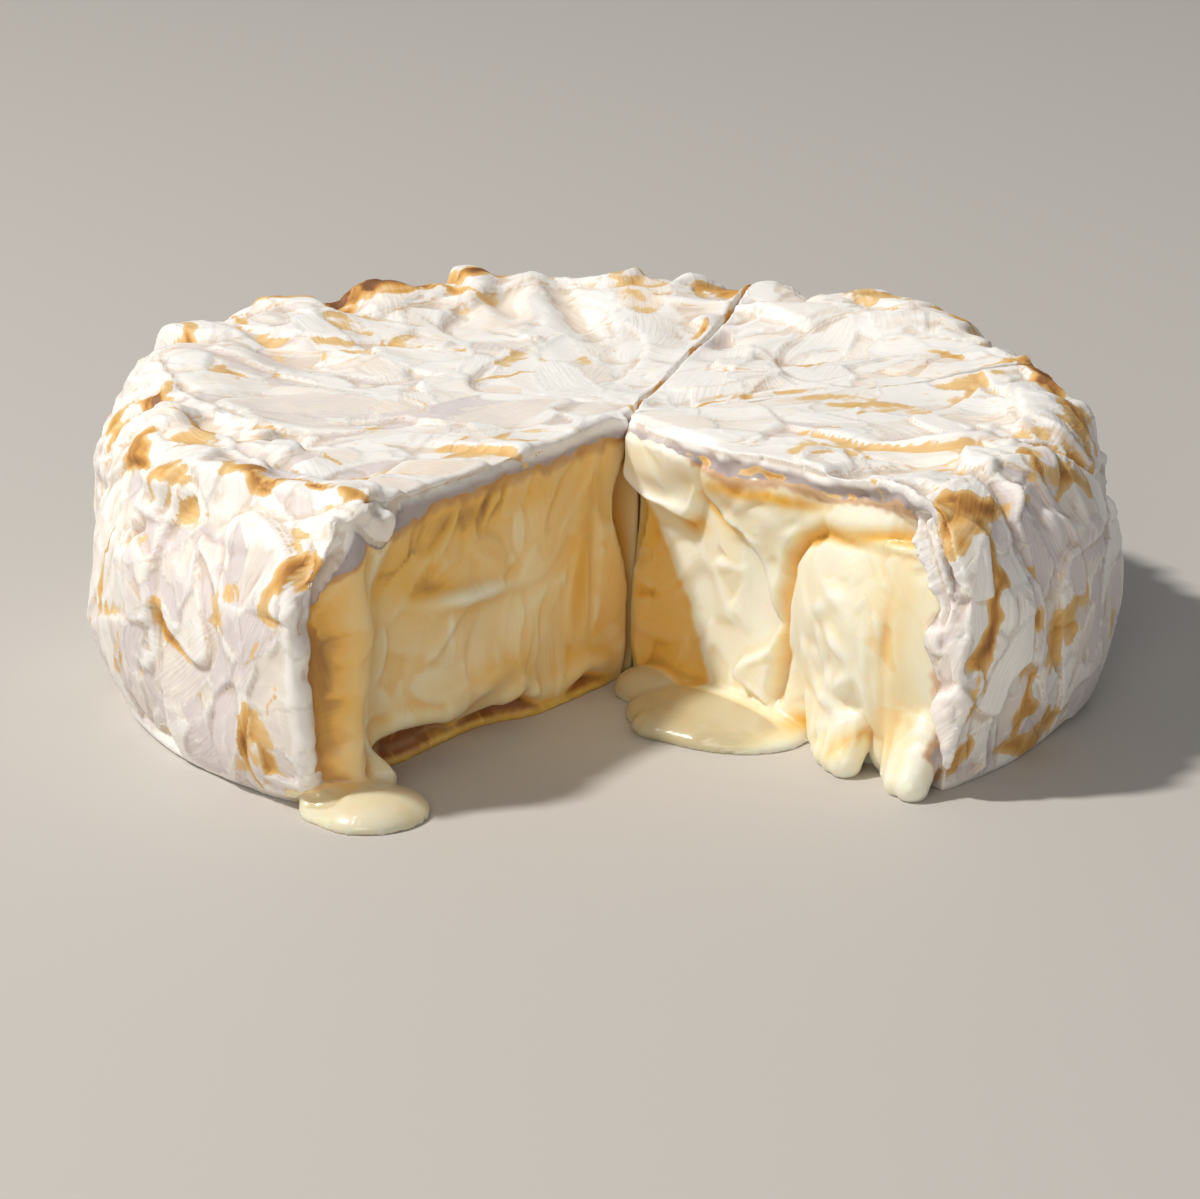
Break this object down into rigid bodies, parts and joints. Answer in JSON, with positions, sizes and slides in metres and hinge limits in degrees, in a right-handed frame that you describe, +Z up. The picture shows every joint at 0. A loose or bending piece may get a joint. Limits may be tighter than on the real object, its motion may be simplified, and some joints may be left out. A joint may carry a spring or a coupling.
{
  "type": "camembert",
  "caption": "Ripe soft cheese with a white bloomy rind, one wedge taken out and the rest cut but still together, with runny paste flowing from the open cut faces",
  "frame": {"origin": "on the surface the cheese stands on, on the wheel's own axis, inside the flat underside of the largest slice", "axes": "+Z up along the wheel's axis; -Y towards the viewer, through the gap the missing wedge left; +X to the right"},
  "size_m": [0.1089, 0.1054, 0.0318],
  "materials": {
    "rind_and_paste": "soft cheese: matt white bloomy rind with ochre wear outside, moist cream-yellow paste on the cut faces"
  },
  "bodies": {
    "root": {"slice_left": "rind_and_paste", "slice_rear": "rind_and_paste", "slice_right": "rind_and_paste"}
  },
  "joints": []
}
